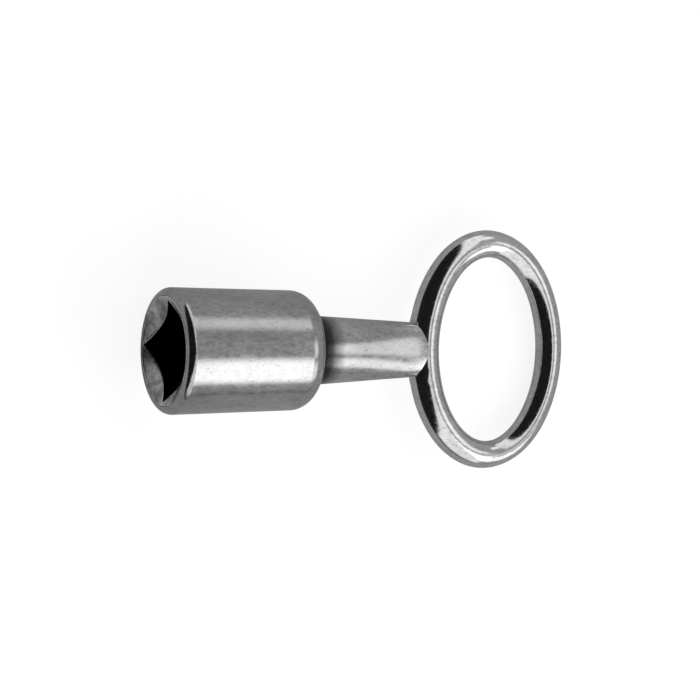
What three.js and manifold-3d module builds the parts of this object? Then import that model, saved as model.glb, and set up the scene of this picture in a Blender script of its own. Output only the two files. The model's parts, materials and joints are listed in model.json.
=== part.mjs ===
// Radiator bleed key: a turned barrel with a square socket, a tapered shank and an oval finger ring.
// Units are millimetres. Each piece is drawn along its own tool axis (+X from the mouth towards the
// ring, the ring lying in the XY plane); the finished key is then leaned until it lies at rest on z = 0.
import * as THREE from 'three';
import { mergeVertices } from 'three/addons/utils/BufferGeometryUtils.js';
import Module from 'manifold-3d';

const wasm = await Module();
wasm.setup();

// ---- driving dimensions ----
const SOCKET_AF = 5.2;             // square socket across flats, for a 5 mm vent spindle
const SOCKET_TURN_DEG = 5;         // how far the square's diagonal is turned from the ring's plane
const SOCKET_DEPTH = 5.8;          // mouth plane to the end of the boss
const COUNTERSINK_DEG = 118;       // included angle of the lead-in
const CORNER_WALL = 0.243;         // sleeve left outside the square's corners
const RIM_WIDTH = 0.14;            // flat rim of the sleeve, outside the countersink
const SEAM_CHAMFER = 0.04;         // broken outer edge of the rim
const BARREL_WALL = 0.56;          // barrel outside the sleeve, at the mouth
const BARREL_TAPER = 0.22;         // radius lost between the mouth and the heel
const LIP_R = 0.56;                // rounding of the mouth's outer edge
const HEEL_WALL = 2.26;            // closed end of the barrel, along the tool
const HEEL_FILLET_R = 1.55;        // rounding of the heel's outer edge
const HEEL_FLAT = 0.2;             // least flat left between that rounding and the shank's hole
const HEAD_LEN = 1.9;              // captive head of the shank, behind the sleeve
const BOSS_LEN = 1.2;              // square boss that keys the head into the sleeve
const SHANK_R = 2.5;               // at the heel
const SHANK_TIP_R = 1.93;          // half width at the ring, where the shank is as thick as the wire
const STEM_LEN = 8.95;             // shank outside the barrel
const COPE_DEPTH = 0.85;           // how far the ring's wire is let into the shank's end
const RING_AXIAL = 5.09;           // half lengths of the ring's centre line, along and across the tool
const RING_ACROSS = 7.62;
const WIRE_NEAR_R = 1.13;          // ring wire radius at the shank and at the far side
const WIRE_FAR_R = 0.945;
const HEEL_BRAZE_LEN = 1.7;        // hollow fillet between the heel and the shank
const FEATHER = 0.03;              // thinnest edge of that fillet
const FIT = 0.02;                  // clearance left between pressed, keyed or brazed faces
const KEY_FIT = 0.03;              // clearance on each flat of the square boss
const BRAZE_FILM = 0.1;            // braze in the cope, and how far its bead stands out at the sides
const BRAZE_BEAD = 0.2;
const BRAZE_REACH = 1.1;           // length of the bead along the wire, past the shank
const BRAZE_BACK = 0.3;            // how far the braze runs past the shank's end

// ---- sizes and places that follow from them ----
const INSERT_R = SOCKET_AF / Math.SQRT2 + CORNER_WALL;
const RIM_R = INSERT_R - RIM_WIDTH;
const MOUTH_R = INSERT_R + FIT + BARREL_WALL;
const HEEL_R = MOUTH_R - BARREL_TAPER;
const INSERT_LEN = SOCKET_DEPTH + BOSS_LEN;
const HEAD_FROM = INSERT_LEN + FIT;
const HEAD_TO = HEAD_FROM + HEAD_LEN;
const HEEL_INSIDE = HEAD_TO + FIT;
const BARREL_LEN = HEEL_INSIDE + HEEL_WALL;
const SHANK_END = BARREL_LEN + STEM_LEN;
const RING_CENTRE = SHANK_END + WIRE_NEAR_R - COPE_DEPTH + RING_AXIAL;
const LIP = Math.min(LIP_R, BARREL_WALL);
const HEEL_FILLET = Math.min(HEEL_FILLET_R, HEEL_R - SHANK_R - FIT - HEEL_FLAT);
const FILLET_START = BARREL_LEN - HEEL_FILLET;
const TIP_HEIGHT = Math.sqrt(WIRE_NEAR_R ** 2 - (WIRE_NEAR_R - COPE_DEPTH) ** 2);

const TURN_STEPS = 64;             // facets round every turned piece
const RING_STEPS = 96;
const WIRE_STEPS = 24;
const STEM_STEPS = 12;
const COVE_STEPS = 6;

// ---- shape helpers ----
const rad = THREE.MathUtils.degToRad;

// Points of an arc in (radius, length) space, from one angle to another, both ends included.
function arc(cr, cs, r, fromDeg, toDeg, steps) {
  const points = [];
  for (let i = 0; i <= steps; i += 1) {
    const a = rad(fromDeg + ((toDeg - fromDeg) * i) / steps);
    points.push([cr + r * Math.cos(a), cs + r * Math.sin(a)]);
  }
  return points;
}

// Turn a profile of [radius, length] pairs about the tool axis.
function turned(profile) {
  const points = profile.map(([r, s]) => new THREE.Vector2(r, s));
  const geometry = new THREE.LatheGeometry(points, TURN_STEPS);
  geometry.rotateZ(-Math.PI / 2);
  return solid(geometry);
}

function signedVolume(position, index) {
  const a = new THREE.Vector3();
  const b = new THREE.Vector3();
  const c = new THREE.Vector3();
  let total = 0;
  for (let i = 0; i < index.length; i += 3) {
    a.fromArray(position, 3 * index[i]);
    b.fromArray(position, 3 * index[i + 1]);
    c.fromArray(position, 3 * index[i + 2]);
    total += a.dot(b.cross(c)) / 6;
  }
  return total;
}

// Weld a three.js geometry and hand it to the boolean kernel, facing outwards.
function solid(geometry) {
  geometry.deleteAttribute('normal');
  geometry.deleteAttribute('uv');
  const welded = mergeVertices(geometry, 1e-5);
  const vertProperties = new Float32Array(welded.attributes.position.array);
  const kept = [];
  const source = welded.index.array;
  for (let i = 0; i < source.length; i += 3) {
    const [a, b, c] = [source[i], source[i + 1], source[i + 2]];
    if (a !== b && b !== c && a !== c) {
      kept.push(a, b, c);
    }
  }
  if (signedVolume(vertProperties, kept) < 0) {
    kept.reverse();
  }
  const mesh = new wasm.Mesh({ numProp: 3, vertProperties, triVerts: new Uint32Array(kept) });
  return new wasm.Manifold(mesh);
}

function squareBar(acrossFlats, from, to) {
  const geometry = new THREE.BoxGeometry(to - from, acrossFlats, acrossFlats);
  geometry.rotateX(rad(45 + SOCKET_TURN_DEG));
  geometry.translate((from + to) / 2, 0, 0);
  return solid(geometry);
}

// ---- the ring's centre line; u = 0 at the shank, pi at the far side ----
function ringPoint(u) {
  return new THREE.Vector3(RING_CENTRE - RING_AXIAL * Math.cos(u), RING_ACROSS * Math.sin(u), 0);
}

// Unit vector in the ring's plane, square to the centre line and pointing out of the ring.
function ringOutward(u) {
  return new THREE.Vector3(-RING_ACROSS * Math.cos(u), RING_AXIAL * Math.sin(u), 0).normalize();
}

function wireRadius(u) {
  const far = (1 - Math.cos(u)) / 2;
  return WIRE_NEAR_R + (WIRE_FAR_R - WIRE_NEAR_R) * Math.min(1, 1.6 * far);
}

// Round section swept along part of the ring (or all of it): the radius is the wire's plus grow(u),
// and the section is moved out of the ring by shift(u). Open sweeps get flat ends.
function sweep(from, to, steps, grow, shift) {
  const closed = to - from > 2 * Math.PI - 1e-6;
  const rows = closed ? steps : steps + 1;
  const position = [];
  const index = [];
  for (let i = 0; i < rows; i += 1) {
    const u = from + ((to - from) * i) / steps;
    const out = ringOutward(u);
    const centre = ringPoint(u).addScaledVector(out, shift(u));
    const r = wireRadius(u) + grow(u);
    for (let j = 0; j < WIRE_STEPS; j += 1) {
      const a = (2 * Math.PI * j) / WIRE_STEPS;
      const p = centre.clone().addScaledVector(out, r * Math.cos(a));
      position.push(p.x, p.y, p.z + r * Math.sin(a));
    }
  }
  const at = (i, j) => (i % rows) * WIRE_STEPS + (j % WIRE_STEPS);
  for (let i = 0; i < steps; i += 1) {
    for (let j = 0; j < WIRE_STEPS; j += 1) {
      index.push(at(i, j), at(i + 1, j), at(i + 1, j + 1));
      index.push(at(i, j), at(i + 1, j + 1), at(i, j + 1));
    }
  }
  if (!closed) {
    for (let j = 1; j < WIRE_STEPS - 1; j += 1) {
      index.push(at(0, 0), at(0, j), at(0, j + 1));
      index.push(at(steps, 0), at(steps, j + 1), at(steps, j));
    }
  }
  const geometry = new THREE.BufferGeometry();
  geometry.setAttribute('position', new THREE.Float32BufferAttribute(position, 3));
  geometry.setIndex(index);
  return solid(geometry);
}

// ---- barrel: rounded lip, slight taper, rounded heel with a hole for the shank ----
const barrel = turned([
  [INSERT_R + FIT, HEEL_INSIDE],
  [INSERT_R + FIT, 0],
  ...arc(MOUTH_R - LIP, LIP, LIP, -90, 0, 6),
  ...arc(HEEL_R - HEEL_FILLET, FILLET_START, HEEL_FILLET, 0, 90, 10),
  [SHANK_R + FIT, BARREL_LEN],
  [SHANK_R + FIT, HEEL_INSIDE],
  [INSERT_R + FIT, HEEL_INSIDE],
]);

// ---- sleeve with the square socket and its countersink ----
const insertBlank = turned([
  [0, 0],
  [INSERT_R - SEAM_CHAMFER, 0],
  [INSERT_R, SEAM_CHAMFER],
  [INSERT_R, INSERT_LEN],
  [0, INSERT_LEN],
]);
const slope = Math.tan(rad(COUNTERSINK_DEG / 2));
const countersink = turned([
  [0, -1],
  [RIM_R + slope, -1],
  [0, RIM_R / slope],
]);
const insert = insertBlank
  .subtract(countersink)
  .subtract(squareBar(SOCKET_AF, -1, INSERT_LEN + 1));

// ---- shank: square boss, captive head, tapered stem flattened towards the ring and coped over it ----
// Half width and half height of the stem at a place along it; grow fattens both.
function stemHalf(s, grow) {
  const q = Math.max(0, (s - BARREL_LEN) / STEM_LEN);
  const width = SHANK_R + (SHANK_TIP_R - SHANK_R) * q;
  const height = width * (1 - (1 - TIP_HEIGHT / SHANK_TIP_R) * q * q * (3 - 2 * q));
  return [width + grow, height + grow];
}

// A solid lofted through ellipses square to the tool axis, with flat ends; each is [length, half width,
// half height].
function loft(ellipses) {
  const position = [];
  const index = [];
  for (const [s, width, height] of ellipses) {
    for (let j = 0; j < TURN_STEPS; j += 1) {
      const a = (2 * Math.PI * j) / TURN_STEPS;
      position.push(s, width * Math.cos(a), height * Math.sin(a));
    }
  }
  const last = (ellipses.length - 1) * TURN_STEPS;
  for (let j = 0; j < TURN_STEPS; j += 1) {
    const k = (j + 1) % TURN_STEPS;
    for (let row = 0; row < last; row += TURN_STEPS) {
      index.push(row + j, row + k, row + TURN_STEPS + k);
      index.push(row + j, row + TURN_STEPS + k, row + TURN_STEPS + j);
    }
    if (j > 0 && k > 0) {
      index.push(0, k, j);
      index.push(last, last + j, last + k);
    }
  }
  const geometry = new THREE.BufferGeometry();
  geometry.setAttribute('position', new THREE.Float32BufferAttribute(position, 3));
  geometry.setIndex(index);
  return solid(geometry);
}

function stem(grow) {
  const stations = [HEAD_FROM + HEAD_LEN / 2];
  for (let i = 0; i <= STEM_STEPS; i += 1) {
    stations.push(BARREL_LEN + (STEM_LEN * i) / STEM_STEPS);
  }
  return loft(stations.map((s) => [s, ...stemHalf(s, grow)]));
}

const head = turned([
  [0, HEAD_FROM],
  [INSERT_R, HEAD_FROM],
  [INSERT_R, HEAD_TO],
  [0, HEAD_TO],
]);
const boss = squareBar(SOCKET_AF - 2 * KEY_FIT, SOCKET_DEPTH, HEAD_FROM + HEAD_LEN / 2);
const edge = Math.asin(SHANK_TIP_R / RING_ACROSS);
const reach = BRAZE_REACH / RING_ACROSS;
const copeHalf = edge + reach + 0.2;   // runs clear of the shank and of the braze, both ways
const cope = sweep(-copeHalf, copeHalf, 24, () => BRAZE_FILM + FIT, () => BRAZE_FILM);
const shank = head.add(boss).add(stem(0)).subtract(cope);

// ---- braze round the shank, where it leaves the heel: a quarter-ellipse hollow that follows the stem ----
const coveFrom = BARREL_LEN + FIT;
const coveRise = HEEL_R - HEEL_FILLET - SHANK_R - 2 * FIT - FEATHER;
const cove = [];
for (let i = 0; i <= COVE_STEPS; i += 1) {
  const q = (i * Math.PI) / (2 * COVE_STEPS);
  const s = coveFrom + HEEL_BRAZE_LEN * (1 - Math.cos(q));
  cove.push([s, ...stemHalf(s, FIT + FEATHER + coveRise * (1 - Math.sin(q)))]);
}
const heelBraze = loft(cove).subtract(stem(FIT));

// ---- ring: closed round wire ----
const ring = sweep(0, 2 * Math.PI, RING_STEPS, () => 0, () => 0);

// ---- braze: thin film in the cope, swelling to a small bead where the wire leaves the shank ----
function bead(u) {
  const past = Math.min(1, Math.max(0, (Math.abs(u) - 0.8 * edge) / reach));
  return BRAZE_BEAD * (1 - past) ** 2 + FIT;
}
const behind = new THREE.BoxGeometry(4 * WIRE_NEAR_R, 4 * SHANK_R, 4 * WIRE_NEAR_R);
behind.translate(SHANK_END + BRAZE_BACK + 2 * WIRE_NEAR_R, 0, 0);
const film = sweep(-edge, edge, 16, () => BRAZE_FILM, () => BRAZE_FILM);
const beads = sweep(-edge - reach, edge + reach, 32, bead, bead).subtract(stem(FIT));
const wireClear = sweep(-copeHalf, copeHalf, 24, () => FIT, () => 0);
const braze = film.add(beads).subtract(wireClear).subtract(solid(behind));

// ---- lay the key down: heel and the ring's far side both touch the ground ----
const run = RING_CENTRE + RING_AXIAL - FILLET_START;
const rise = HEEL_R - HEEL_FILLET;
const lean = Math.atan2(rise, run) + Math.asin((HEEL_FILLET - WIRE_FAR_R) / Math.hypot(run, rise));

function plated(color, roughness) {
  return new THREE.MeshStandardMaterial({ color, roughness, metalness: 1 });
}

function toMesh(name, body, material) {
  const mesh = body.getMesh();
  const geometry = new THREE.BufferGeometry();
  geometry.setAttribute('position', new THREE.Float32BufferAttribute(mesh.vertProperties, 3));
  geometry.setIndex(new THREE.Uint32BufferAttribute(mesh.triVerts, 1));
  geometry.rotateY(lean);
  const part = new THREE.Mesh(geometry, material);
  part.name = name;
  return part;
}

const key = new THREE.Group();
key.name = 'radiator_bleed_key';
key.add(
  toMesh('barrel_sleeve', barrel, plated(0xc9ccd0, 0.12)),
  toMesh('socket_insert', insert, plated(0x9fa2a6, 0.3)),
  toMesh('shank', shank, plated(0xc6c9cd, 0.14)),
  toMesh('finger_ring', ring, plated(0xcccfd2, 0.12)),
  toMesh('heel_braze', heelBraze, plated(0xb9bcbf, 0.22)),
  toMesh('saddle_braze', braze, plated(0xb9bcbf, 0.22)),
);

const bounds = new THREE.Box3().setFromObject(key);
const middle = bounds.getCenter(new THREE.Vector3());
for (const part of key.children) {
  part.geometry.translate(-middle.x, -middle.y, -bounds.min.z);
  part.geometry.computeVertexNormals();
}

export default key;
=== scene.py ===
"""Radiator bleed key: a chrome-plated square-socket key lying on a pale floor, built around the CAD frame.

Every piece is drawn in millimetres along the tool's own axis (+X from the mouth to the ring, the ring in
the XY plane) and put in place by one matrix, taken from where the record says the socket's mouth is.
"""

import json
import math

import bmesh
import bpy
from mathutils import Matrix, Vector, noise


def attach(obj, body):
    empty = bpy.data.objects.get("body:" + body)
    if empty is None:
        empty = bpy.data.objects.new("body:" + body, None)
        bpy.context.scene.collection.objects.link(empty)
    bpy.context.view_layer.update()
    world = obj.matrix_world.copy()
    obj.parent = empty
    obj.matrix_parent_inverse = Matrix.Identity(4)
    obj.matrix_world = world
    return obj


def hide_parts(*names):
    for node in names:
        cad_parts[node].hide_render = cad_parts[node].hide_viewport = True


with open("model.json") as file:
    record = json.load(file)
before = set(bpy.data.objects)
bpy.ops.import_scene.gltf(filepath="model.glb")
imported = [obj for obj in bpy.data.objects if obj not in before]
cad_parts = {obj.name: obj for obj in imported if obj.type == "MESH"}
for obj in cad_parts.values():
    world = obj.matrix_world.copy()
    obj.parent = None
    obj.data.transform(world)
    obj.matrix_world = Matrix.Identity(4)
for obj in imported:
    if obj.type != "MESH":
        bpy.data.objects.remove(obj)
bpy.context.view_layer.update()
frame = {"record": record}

# ---- sizes, in millimetres, as the CAD has them ----
SOCKET_AF = 5.2
SOCKET_TURN = math.radians(5)
SOCKET_DEPTH = 5.8
COUNTERSINK = math.radians(118)
CORNER_WALL = 0.243
BARREL_WALL = 0.56
BARREL_TAPER = 0.22
HEAD_LEN = 1.9
KEY_FIT = 0.03
BRAZE_REACH = 1.1
RIM_WIDTH = 0.14
SEAM_CHAMFER = 0.04
FIT = 0.02
LIP_R = 0.56
HEEL_FILLET_R = 1.55
SHANK_R = 2.5
SHANK_TIP_R = 1.93
RING_AXIAL = 5.09
RING_ACROSS = 7.62
WIRE_NEAR_R = 1.13
WIRE_FAR_R = 0.945
COPE_DEPTH = 0.85
HEEL_BRAZE_LEN = 1.7
INSERT_LEN = 7.0
BARREL_LEN = 11.2
STEM_LEN = 8.95
SHANK_END = BARREL_LEN + STEM_LEN
INSERT_R = SOCKET_AF / math.sqrt(2) + CORNER_WALL
RIM_R = INSERT_R - RIM_WIDTH
MOUTH_R = INSERT_R + FIT + BARREL_WALL
HEEL_R = MOUTH_R - BARREL_TAPER
RING_CENTRE = SHANK_END + WIRE_NEAR_R - COPE_DEPTH + RING_AXIAL
TIP_HEIGHT = math.sqrt(WIRE_NEAR_R ** 2 - (WIRE_NEAR_R - COPE_DEPTH) ** 2)

MM = 0.001
TURNS = 192                       # facets round every turned piece
BARREL_RIPPLE = 0.006             # unevenness left by polishing
STEM_RIPPLE = 0.004
RING_RIPPLE = 0.012
CORNER_EASE = 0.985               # how far into its corners the square reaches
STEM_RUN_ON = 0.25                # the stem ends inside the wire, so that its top meets the wire's crest
BRAZE_BEAD = 0.022                # the bead's extra radius, and its shift outwards, beside the stem
BRAZE_SUNK = 0.007                # its ends lie this far under the wire's surface
SHARP_EDGE = math.radians(50)


# ---- where the tool lies in the row frame ----
def tool_matrix():
    """Millimetres along the tool's axis to metres in the row frame."""
    mounts = {mount["name"]: mount for mount in frame["record"]["mounts"]}
    mouth = mounts["square_socket"]
    out = Vector(mouth["axis"]).normalized()
    lean = math.atan2(out.z, -out.x)
    return Matrix.Translation(mouth["pos_m"]) @ Matrix.Rotation(lean, 4, "Y") @ Matrix.Scale(MM, 4)


TOOL = tool_matrix()
TOOL_AXIS = (TOOL.to_3x3() @ Vector((1, 0, 0))).normalized()
ACROSS = Vector((0, 1, 0))
ABOVE = TOOL_AXIS.cross(ACROSS)    # square to the tool's axis and to the ring's width, upwards


# ---- mesh helpers ----
def arc(centre_r, centre_s, radius, start, end, steps):
    """Points (radius, length) on an arc, angles in degrees, both ends included."""
    points = []
    for i in range(steps + 1):
        angle = math.radians(start + (end - start) * i / steps)
        points.append((centre_r + radius * math.cos(angle), centre_s + radius * math.sin(angle)))
    return points


def line(start, end, steps):
    """Points from start to end, without start."""
    return [tuple(a + (b - a) * i / steps for a, b in zip(start, end)) for i in range(1, steps + 1)]


def ripple(point, size, depth):
    """Slow unevenness left by hand polishing, in millimetres."""
    return depth * noise.noise(Vector(point) / size)


def finish_mesh(name, verts, faces, node, material):
    """Makes the object, faces out and smooth, and hides the CAD node it stands for."""
    mesh = bpy.data.meshes.new(name)
    mesh.from_pydata([TOOL @ Vector(v) for v in verts], [], faces)
    bm = bmesh.new()
    bm.from_mesh(mesh)
    bmesh.ops.remove_doubles(bm, verts=bm.verts, dist=1e-8)
    bmesh.ops.recalc_face_normals(bm, faces=bm.faces)
    bm.to_mesh(mesh)
    bm.free()
    mesh.shade_smooth()
    piece = bpy.data.objects.new(name, mesh)
    bpy.context.scene.collection.objects.link(piece)
    mesh.materials.append(material)
    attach(piece, "root")
    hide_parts(node)
    return piece


def turned(profile, closed, wave=0.0, wave_size=3.0):
    """Verts and faces of a profile of (radius, length) turned about the axis."""
    verts = []
    for r, s in profile:
        for j in range(TURNS):
            angle = 2 * math.pi * j / TURNS
            y, z = math.cos(angle), math.sin(angle)
            rr = r + (ripple((s, r * y, r * z), wave_size, wave) if r > 0.5 else 0)
            verts.append((s, rr * y, rr * z))
    faces = []
    rows = len(profile)
    for i in range(rows if closed else rows - 1):
        for j in range(TURNS):
            a, b = i * TURNS, ((i + 1) % rows) * TURNS
            k = (j + 1) % TURNS
            faces.append((a + j, a + k, b + k, b + j))
    return verts, faces


# ---- materials ----
def plated(name, base, roughness):
    material = bpy.data.materials.new(name)
    material.use_nodes = True
    nodes = material.node_tree.nodes
    shader = nodes["Principled BSDF"]
    shader.inputs["Metallic"].default_value = 1.0
    shader.inputs["Base Color"].default_value = (*base, 1)
    shader.inputs["Roughness"].default_value = roughness
    return material, nodes, material.node_tree.links, shader


def ramp(nodes, links, source, stops):
    """A colour ramp from a 0 to 1 value; stops are (place, grey)."""
    node = nodes.new("ShaderNodeValToRGB")
    node.color_ramp.elements[0].position, grey = stops[0]
    node.color_ramp.elements[0].color = (grey, grey, grey, 1)
    node.color_ramp.elements[1].position, grey = stops[-1]
    node.color_ramp.elements[1].color = (grey, grey, grey, 1)
    for place, grey in stops[1:-1]:
        node.color_ramp.elements.new(place).color = (grey, grey, grey, 1)
    links.new(source, node.inputs["Fac"])
    return node.outputs["Color"]


def noise_node(nodes, links, vector, scale, detail, roughness=0.5):
    node = nodes.new("ShaderNodeTexNoise")
    node.inputs["Scale"].default_value = scale
    node.inputs["Detail"].default_value = detail
    node.inputs["Roughness"].default_value = roughness
    links.new(vector, node.inputs["Vector"])
    return node.outputs["Fac"]


def mix(nodes, links, blend, factor, a, b):
    node = nodes.new("ShaderNodeMix")
    node.data_type = "RGBA"
    node.blend_type = blend
    node.clamp_factor = True
    node.inputs["Factor"].default_value = factor
    for socket, value in ((node.inputs[6], a), (node.inputs[7], b)):
        if isinstance(value, tuple):
            socket.default_value = (*value, 1)
        else:
            links.new(value, socket)
    return node.outputs[2]


def map_range(nodes, links, value, start, end):
    node = nodes.new("ShaderNodeMapRange")
    node.inputs["From Min"].default_value = start
    node.inputs["From Max"].default_value = end
    links.new(value, node.inputs["Value"])
    return node.outputs["Result"]


def along_tool(nodes, links, where, start, end):
    """0 to 1 between two places along the tool's axis, in millimetres from the mouth."""
    dot = nodes.new("ShaderNodeVectorMath")
    dot.operation = "DOT_PRODUCT"
    links.new(where, dot.inputs[0])
    dot.inputs[1].default_value = TOOL_AXIS
    origin = TOOL.translation.dot(TOOL_AXIS)
    return map_range(nodes, links, dot.outputs["Value"], origin + start * MM, origin + end * MM)


def drawn_out(nodes, links, where, factor):
    """Coordinates squeezed along the tool's axis, so that marks come out longer that way."""
    mapping = nodes.new("ShaderNodeMapping")
    mapping.vector_type = "TEXTURE"
    mapping.inputs["Rotation"].default_value = (0, math.atan2(-TOOL_AXIS.z, TOOL_AXIS.x), 0)
    mapping.inputs["Scale"].default_value = (factor, 1, 1)
    links.new(where, mapping.inputs["Vector"])
    return mapping.outputs["Vector"]


def chrome(name, base, dull, shine, shade, heel_shade_span=None):
    """Worn bright plating: cloudy tone, fine mottling, small dark specks, uneven gloss."""
    material, nodes, links, shader = plated(name, base, shine)
    where = nodes.new("ShaderNodeTexCoord").outputs["Object"]
    cloud = noise_node(nodes, links, drawn_out(nodes, links, where, 2.5), 420, 6, 0.65)
    grain = noise_node(nodes, links, drawn_out(nodes, links, where, 1.8), 3600, 4, 0.7)
    specks = noise_node(nodes, links, where, 5200, 2, 0.6)
    tone = ramp(nodes, links, cloud, [(0.36, shade), (0.6, 1.0)])
    mottle = ramp(nodes, links, grain, [(0.3, 0.74), (0.56, 1.0)])
    speckle = ramp(nodes, links, specks, [(0.27, 0.45), (0.33, 1.0)])
    tone = mix(nodes, links, "MULTIPLY", 1.0, mix(nodes, links, "MULTIPLY", 1.0, tone, mottle), speckle)
    # painted shade: base colour darkened beside the heel, where the hollow between heel and stem lies in
    # shade, lightening along the shank
    if heel_shade_span:
        beside_heel = along_tool(nodes, links, where, *heel_shade_span)
        painted_heel_shade = ramp(nodes, links, beside_heel, [(0.0, 0.06), (0.3, 0.14), (1.0, 1.0)])
        tone = mix(nodes, links, "MULTIPLY", 1.0, tone, painted_heel_shade)
    links.new(mix(nodes, links, "MULTIPLY", 1.0, base, tone), shader.inputs["Base Color"])
    gloss = ramp(nodes, links, grain, [(0.35, shine), (0.7, dull)])
    links.new(gloss, shader.inputs["Roughness"])
    bump = nodes.new("ShaderNodeBump")
    bump.inputs["Strength"].default_value = 0.3
    bump.inputs["Distance"].default_value = 0.00002
    height = mix(nodes, links, "MIX", 0.6, grain, speckle)
    links.new(height, bump.inputs["Height"])
    links.new(bump.outputs["Normal"], shader.inputs["Normal"])
    return material


def socket_steel(name):
    """Toned by how squarely a face looks out of the mouth, as painted light and shade: dark walls, grey
    countersink, bright rim.
    """
    material, nodes, links, shader = plated(name, (0.6, 0.6, 0.6), 0.3)
    where = nodes.new("ShaderNodeTexCoord").outputs["Object"]
    cloud = noise_node(nodes, links, where, 700, 5, 0.65)
    grain = noise_node(nodes, links, where, 3200, 3, 0.6)
    tone = ramp(nodes, links, cloud, [(0.4, 0.35), (0.6, 1.0)])
    facing = nodes.new("ShaderNodeVectorMath")
    facing.operation = "DOT_PRODUCT"
    links.new(nodes.new("ShaderNodeNewGeometry").outputs["Normal"], facing.inputs[0])
    facing.inputs[1].default_value = -TOOL_AXIS
    # walls black as painted shade, broken edge bright as a painted highlight, countersink grey, rim bright
    facing_shade_zones = [(0.0, 0.04), (0.3, 0.04), (0.45, 0.9), (0.72, 0.9), (0.82, 0.75), (0.9, 0.75), (0.97, 0.95)]
    face = ramp(nodes, links, facing.outputs["Value"], facing_shade_zones)
    links.new(mix(nodes, links, "MULTIPLY", 1.0, face, tone), shader.inputs["Base Color"])
    links.new(ramp(nodes, links, grain, [(0.3, 0.14), (0.7, 0.3)]), shader.inputs["Roughness"])
    bump = nodes.new("ShaderNodeBump")
    bump.inputs["Strength"].default_value = 0.4
    bump.inputs["Distance"].default_value = 0.00003
    links.new(grain, bump.inputs["Height"])
    links.new(bump.outputs["Normal"], shader.inputs["Normal"])
    return material


# ---- the pieces ----
def make_barrel(material):
    heel_inside = INSERT_LEN + FIT + HEAD_LEN + FIT
    fillet_start = BARREL_LEN - HEEL_FILLET_R
    profile = [(INSERT_R + FIT, heel_inside), (INSERT_R + FIT, 0)]
    profile += arc(MOUTH_R - LIP_R, LIP_R, LIP_R, -90, 0, 14)
    profile += line(profile[-1], (HEEL_R, fillet_start), 40)
    profile += arc(HEEL_R - HEEL_FILLET_R, fillet_start, HEEL_FILLET_R, 0, 90, 28)[1:]
    profile += [(SHANK_R + FIT, BARREL_LEN), (SHANK_R + FIT, heel_inside)]
    verts, faces = turned(profile, True, wave=BARREL_RIPPLE)
    return finish_mesh("barrel", verts, faces, "barrel_sleeve", material)


def square_radius(angle):
    """Distance from the axis to the side of the square socket in this direction, corners slightly eased."""
    local = (angle - SOCKET_TURN) % (math.pi / 2) - math.pi / 4
    half = SOCKET_AF / 2
    return min(half / math.cos(local), half * math.sqrt(2) * CORNER_EASE)


def make_insert(material):
    """Sleeve with the countersink cut through by the square, each direction having its own profile."""
    slope = math.tan(COUNTERSINK / 2)
    steps = TURNS * 2
    rows = []
    for j in range(steps):
        angle = 2 * math.pi * j / steps
        side = square_radius(angle)
        depth = (RIM_R - side) / slope
        half = COUNTERSINK / 2
        ease = min(0.05, (RIM_R - side) * 0.3)
        down = (side + ease * math.sin(half), depth - ease * math.cos(half))
        profile = [
            (INSERT_R, INSERT_LEN),
            (INSERT_R, SEAM_CHAMFER),
            (INSERT_R - SEAM_CHAMFER, 0),
            (RIM_R + 0.03, 0),
            (RIM_R + 0.008, 0.004),
            (RIM_R - 0.012, 0.02),
        ]
        profile += line(profile[-1], down, 6)
        profile += [(side + 0.2 * ease, depth + 0.15 * ease), (side, depth + 0.8 * ease)]
        profile += line(profile[-1], (side, INSERT_LEN), 8)
        y, z = math.cos(angle), math.sin(angle)
        rows.append([(s, r * y, r * z) for r, s in profile])
    count = len(rows[0])
    verts = [v for row in rows for v in row]
    faces = []
    for j in range(steps):
        a, b = j * count, ((j + 1) % steps) * count
        for i in range(count):
            k = (i + 1) % count
            faces.append((a + i, a + k, b + k, b + i))
    piece = finish_mesh("socket", verts, faces, "socket_insert", material)
    piece.data.set_sharp_from_angle(angle=SHARP_EDGE)
    return piece


def stem_half(s):
    """Half width and half height of the stem: round at the heel, as thick as the wire at the ring."""
    q = max(0, (s - BARREL_LEN) / STEM_LEN)
    width = SHANK_R + (SHANK_TIP_R - SHANK_R) * q
    q = min(1, q)
    return width, width * (1 - (1 - TIP_HEIGHT / SHANK_TIP_R) * q * q * (3 - 2 * q))


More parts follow.
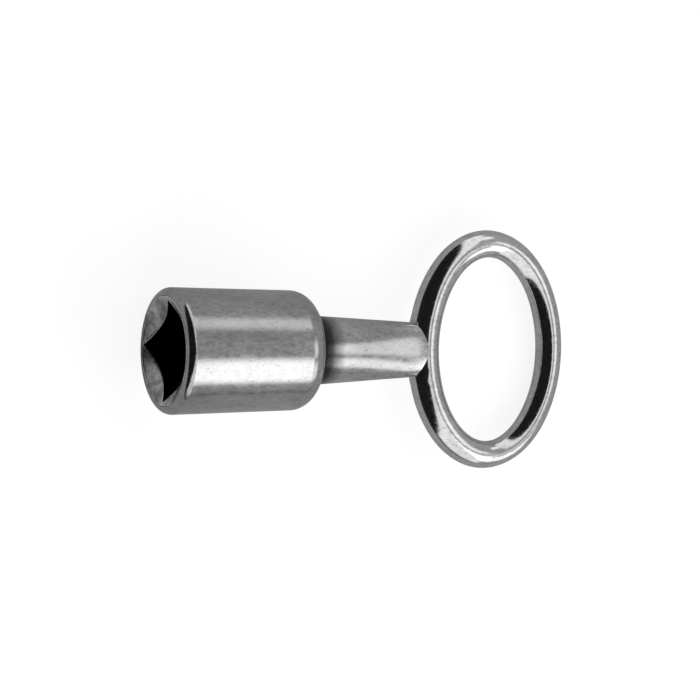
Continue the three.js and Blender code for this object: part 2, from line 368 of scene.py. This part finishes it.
def make_shank(material):
    head_from = INSERT_LEN + FIT
    head_to = head_from + HEAD_LEN
    profile = [(0.01, head_from), (INSERT_R, head_from), (INSERT_R, head_to), (SHANK_R, head_to)]
    profile += line(profile[-1], (SHANK_R, BARREL_LEN), 6)
    verts, faces = turned(profile, False)
    first = len(verts) - TURNS
    rows = 72
    length = STEM_LEN + STEM_RUN_ON
    for i in range(1, rows + 1):
        s = BARREL_LEN + length * i / rows
        width, height = stem_half(s)
        q = (s - BARREL_LEN) / length
        height *= 1 + 0.03 * q ** 8
        power = 2 / (2 + 0.6 * q * q)
        for j in range(TURNS):
            angle = 2 * math.pi * j / TURNS
            c, n = math.cos(angle), math.sin(angle)
            y = width * math.copysign(abs(c) ** power, c)
            z = height * math.copysign(abs(n) ** power, n)
            k = 1 + ripple((s, y, z), 2.2, STEM_RIPPLE) * min(1, 3 * q)
            verts.append((s, k * y, k * z))
            a, b, m = first + (i - 1) * TURNS, first + i * TURNS, (j + 1) % TURNS
            faces.append((a + j, a + m, b + m, b + j))
    faces.append(tuple(range(TURNS)))
    faces.append(tuple(range(len(verts) - TURNS, len(verts))))
    half = SOCKET_AF / 2 - KEY_FIT
    base = len(verts)
    for s in (SOCKET_DEPTH, head_from + 0.9):
        for k in range(4):
            angle = SOCKET_TURN + k * math.pi / 2
            r = half * math.sqrt(2)
            verts.append((s, r * math.cos(angle), r * math.sin(angle)))
    for k in range(4):
        m = (k + 1) % 4
        faces.append((base + k, base + m, base + 4 + m, base + 4 + k))
    faces += [(base, base + 1, base + 2, base + 3), (base + 4, base + 5, base + 6, base + 7)]
    piece = finish_mesh("stem", verts, faces, "shank", material)
    piece.data.set_sharp_from_angle(angle=SHARP_EDGE)
    return piece


def make_heel_braze(material):
    """Hollow fillet between the heel's flat and the stem, following the stem and running out into it."""
    start = BARREL_LEN + FIT
    rise = HEEL_R - HEEL_FILLET_R - SHANK_R - FIT
    rows = [(start + HEEL_BRAZE_LEN, -0.1), (start, -0.1)]
    for i in range(33):
        turn = math.pi / 2 * i / 32
        over = rise * (1 - math.sin(turn)) - 0.02 * i / 32
        rows.append((start + HEEL_BRAZE_LEN * (1 - math.cos(turn)), over))
    verts = []
    faces = []
    for i, (s, over) in enumerate(rows):
        width, height = stem_half(s)
        for j in range(TURNS):
            angle = 2 * math.pi * j / TURNS
            y, z = (width + over) * math.cos(angle), (height + over) * math.sin(angle)
            verts.append((s, y, z))
            a, b, m = i * TURNS, (i + 1) % len(rows) * TURNS, (j + 1) % TURNS
            faces.append((a + j, a + m, b + m, b + j))
    return finish_mesh("heel_fillet", verts, faces, "heel_braze", material)


def wire_radius(u):
    far = (1 - math.cos(u)) / 2
    return WIRE_NEAR_R + (WIRE_FAR_R - WIRE_NEAR_R) * min(1, 1.6 * far)


def ring_frame(u):
    centre = Vector((RING_CENTRE - RING_AXIAL * math.cos(u), RING_ACROSS * math.sin(u), 0))
    outward = Vector((-RING_ACROSS * math.cos(u), RING_AXIAL * math.sin(u), 0)).normalized()
    return centre, outward


def sweep(start, end, steps, sides, grow, shift, wave):
    """Round section along the ring: the wire's radius plus grow(u), moved out by shift(u)."""
    closed = end - start > 2 * math.pi - 1e-6
    rows = steps if closed else steps + 1
    verts = []
    for i in range(rows):
        u = start + (end - start) * i / steps
        centre, outward = ring_frame(u)
        centre = centre + outward * shift(u)
        for j in range(sides):
            angle = 2 * math.pi * j / sides
            way = outward * math.cos(angle) + Vector((0, 0, math.sin(angle)))
            point = centre + way * (wire_radius(u) + grow(u))
            verts.append(tuple(point + way * ripple(point, 2.5, wave)))
    faces = []
    for i in range(steps):
        for j in range(sides):
            a, b = i * sides, ((i + 1) % rows) * sides
            k = (j + 1) % sides
            faces.append((a + j, a + k, b + k, b + j))
    if not closed:
        faces.append(tuple(range(sides)))
        faces.append(tuple(range(len(verts) - sides, len(verts))))
    return verts, faces


def make_ring(material):
    verts, faces = sweep(0, 2 * math.pi, 360, 72, lambda u: 0, lambda u: 0, RING_RIPPLE)
    return finish_mesh("ring", verts, faces, "finger_ring", material)


def make_braze(material):
    """Bead along the wire where it leaves the stem, feathered down into the wire at both ends."""
    edge = math.asin(SHANK_TIP_R / RING_ACROSS)
    reach = BRAZE_REACH / RING_ACROSS

    def bead(u):
        out = (abs(u) - edge) / reach
        return BRAZE_BEAD * math.exp(-((out + 0.1) / 0.5) ** 2) - BRAZE_SUNK

    verts, faces = sweep(-edge - reach, edge + reach, 120, 72, bead, bead, RING_RIPPLE)
    return finish_mesh("braze", verts, faces, "saddle_braze", material)


# ---- camera ----
VIEW_ANGLE = math.radians(26)      # between the tool's axis and the picture
VIEW_ROLL = math.radians(2.8)      # camera's place round the tool's axis
PICTURE_TILT = math.radians(0.33)
CAMERA_DISTANCE = 400 * MM
AIM = 14.57                        # point of the tool's axis in the middle of the picture
LENS = 287.8


def make_camera():
    side = ABOVE * math.cos(VIEW_ROLL) + ACROSS * math.sin(VIEW_ROLL)
    back = side * math.cos(VIEW_ANGLE) - TOOL_AXIS * math.sin(VIEW_ANGLE)
    right = (TOOL_AXIS - back * TOOL_AXIS.dot(back)).normalized()
    up = back.cross(right)
    right, up = (right * math.cos(PICTURE_TILT) - up * math.sin(PICTURE_TILT),
                 up * math.cos(PICTURE_TILT) + right * math.sin(PICTURE_TILT))
    place = TOOL @ Vector((AIM, 0, 0)) + back * CAMERA_DISTANCE
    data = bpy.data.cameras.new("camera")
    data.lens = LENS
    data.sensor_width = 36
    data.clip_start = 0.01
    data.clip_end = 10
    camera = bpy.data.objects.new("camera", data)
    rotation = Matrix((right, up, back)).transposed().to_4x4()
    camera.matrix_world = Matrix.Translation(place) @ rotation
    bpy.context.scene.collection.objects.link(camera)
    bpy.context.scene.camera = camera


# ---- floor and light ----
FLOOR_SEEN = 0.84                  # glow towards the camera
FLOOR_MIRRORED = 0.2               # glow in the plating


def make_floor():
    """Plain pale paper. It glows, so that the camera sees it white; mirror rays see an even, darker grey."""
    bpy.ops.mesh.primitive_plane_add(size=0.8, location=(0, 0, 0))
    floor = bpy.context.object
    floor.name = "floor"
    material = bpy.data.materials.new("floor_paper")
    material.use_nodes = True
    nodes, links = material.node_tree.nodes, material.node_tree.links
    nodes.clear()

    def paper(albedo, glow):
        diffuse = nodes.new("ShaderNodeBsdfDiffuse")
        diffuse.inputs["Color"].default_value = (albedo, albedo, albedo, 1)
        emission = nodes.new("ShaderNodeEmission")
        emission.inputs["Strength"].default_value = glow
        both = nodes.new("ShaderNodeAddShader")
        links.new(diffuse.outputs["BSDF"], both.inputs[0])
        links.new(emission.outputs["Emission"], both.inputs[1])
        return both.outputs["Shader"]

    rays = nodes.new("ShaderNodeLightPath")
    blend = nodes.new("ShaderNodeMixShader")
    links.new(rays.outputs["Is Glossy Ray"], blend.inputs["Fac"])
    links.new(paper(0.45, FLOOR_SEEN), blend.inputs[1])
    mirrored = paper(0.3, FLOOR_MIRRORED)
    links.new(mirrored, blend.inputs[2])
    out = nodes.new("ShaderNodeOutputMaterial")
    links.new(blend.outputs["Shader"], out.inputs["Surface"])
    floor.data.materials.append(material)


# The studio round the key: an even grey surround and soft panels, each laid over the ones before it.
# A panel has a strength, the angles it spans round the tool's axis (degrees, 0 above it, 90 towards +Y)
# and how far it reaches along the axis (cosine of the angle to it, 1 straight towards the ring).
SURROUND = 0.45
PANELS = [
    (0.05, (-150, -84), (-1.2, 1.2)),      # dark side
    (1.15, (-80, 115), (-1.2, 0.32)),      # over the mouth
    (2.3, (-60, -14), (0.32, 0.53)),       # main
    (1.35, (43, 65), (0.32, 0.49)),        # side
    (1.6, (-62, -27), (0.53, 0.8)),        # main, towards the ring
    (1.35, (-13, 22), (0.53, 0.8)),        # second, towards the ring
]
PANEL_SOFT = 8                     # degrees
PANEL_SOFT_ALONG = 0.03
BLACK_CARD = 0.015                 # large black card round the mouth's side, its edge cut to a blunt point
CARD_EDGE = 0.2
CARD_SOFT = 0.05
CARD_SLOPES = (0.37, -0.95)


class Sky:
    """Small helper for building a number from the direction a ray leaves in."""

    def __init__(self, nodes, links):
        self.nodes = nodes
        self.links = links
        self.where = nodes.new("ShaderNodeTexCoord").outputs["Generated"]

    def put(self, socket, value):
        if isinstance(value, (int, float)):
            socket.default_value = value
        else:
            self.links.new(value, socket)

    def math(self, operation, a, b=0.0):
        node = self.nodes.new("ShaderNodeMath")
        node.operation = operation
        self.put(node.inputs[0], a)
        self.put(node.inputs[1], b)
        return node.outputs["Value"]

    def along(self, direction):
        node = self.nodes.new("ShaderNodeVectorMath")
        node.operation = "DOT_PRODUCT"
        self.links.new(self.where, node.inputs[0])
        node.inputs[1].default_value = direction
        return node.outputs["Value"]

    def step(self, value, start, end):
        node = self.nodes.new("ShaderNodeMapRange")
        node.interpolation_type = "SMOOTHSTEP"
        node.inputs["From Min"].default_value = start
        node.inputs["From Max"].default_value = end
        self.links.new(value, node.inputs["Value"])
        return node.outputs["Result"]

    def blend(self, factor, a, b):
        return self.math("ADD", a, self.math("MULTIPLY", factor, self.math("SUBTRACT", b, a)))

    def band(self, value, span, soft):
        """1 inside the span, 0 outside it."""
        start, end = span
        rise = self.step(value, start - soft, start + soft)
        return self.math("MULTIPLY", rise, self.step(value, end + soft, end - soft))


def make_world():
    world = bpy.data.worlds.new("studio")
    world.use_nodes = True
    bpy.context.scene.world = world
    nodes, links = world.node_tree.nodes, world.node_tree.links
    nodes.clear()
    sky = Sky(nodes, links)
    forward = sky.along(TOOL_AXIS)
    sideways = sky.along(ACROSS)
    angle = sky.math("ARCTAN2", sideways, sky.along(ABOVE))
    degrees = sky.math("MULTIPLY", angle, 180 / math.pi)
    light = SURROUND
    for strength, around, along in PANELS:
        panel = sky.math("MULTIPLY", sky.band(degrees, around, PANEL_SOFT),
                         sky.band(forward, along, PANEL_SOFT_ALONG))
        light = sky.blend(panel, light, strength)
    slopes = [sky.math("MULTIPLY", sideways, slope) for slope in CARD_SLOPES]
    card = sky.math("ADD", forward, sky.math("MAXIMUM", *slopes))
    total = sky.blend(sky.step(card, CARD_EDGE - CARD_SOFT, CARD_EDGE + CARD_SOFT), BLACK_CARD, light)
    lit = nodes.new("ShaderNodeBackground")
    links.new(total, lit.inputs["Strength"])
    backdrop = nodes.new("ShaderNodeBackground")
    backdrop.inputs["Color"].default_value = (0.95, 0.95, 0.95, 1)
    rays = nodes.new("ShaderNodeLightPath")
    blend = nodes.new("ShaderNodeMixShader")
    links.new(rays.outputs["Is Camera Ray"], blend.inputs["Fac"])
    links.new(lit.outputs["Background"], blend.inputs[1])
    links.new(backdrop.outputs["Background"], blend.inputs[2])
    out = nodes.new("ShaderNodeOutputWorld")
    links.new(blend.outputs["Shader"], out.inputs["Surface"])


bpy.context.scene.view_settings.view_transform = "Standard"
make_camera()
make_floor()
make_world()
HEEL_SHADE_SPAN = (11.5, 13.2)             # span of painted shade beside the heel, fading out along the shank
# one plating over the whole key; its base grey differs part by part as painted light and shade: darkest on
# the barrel, lighter on stem and heel, brightest on braze and ring
plating = {
    "barrel": chrome("barrel_chrome", (0.62, 0.62, 0.62), 0.22, 0.11, 0.8),
    "shank": chrome("shank_chrome", (0.72, 0.72, 0.72), 0.24, 0.12, 0.78, heel_shade_span=HEEL_SHADE_SPAN),
    "ring": chrome("ring_chrome", (0.88, 0.88, 0.88), 0.16, 0.07, 0.82),
    "heel": chrome("heel_chrome", (0.72, 0.72, 0.72), 0.26, 0.14, 0.75, heel_shade_span=HEEL_SHADE_SPAN),
    "braze": chrome("braze_chrome", (0.86, 0.86, 0.86), 0.16, 0.08, 0.82),
}
make_barrel(plating["barrel"])
make_insert(socket_steel("socket_steel"))
make_shank(plating["shank"])
make_ring(plating["ring"])
make_heel_braze(plating["heel"])
make_braze(plating["braze"])
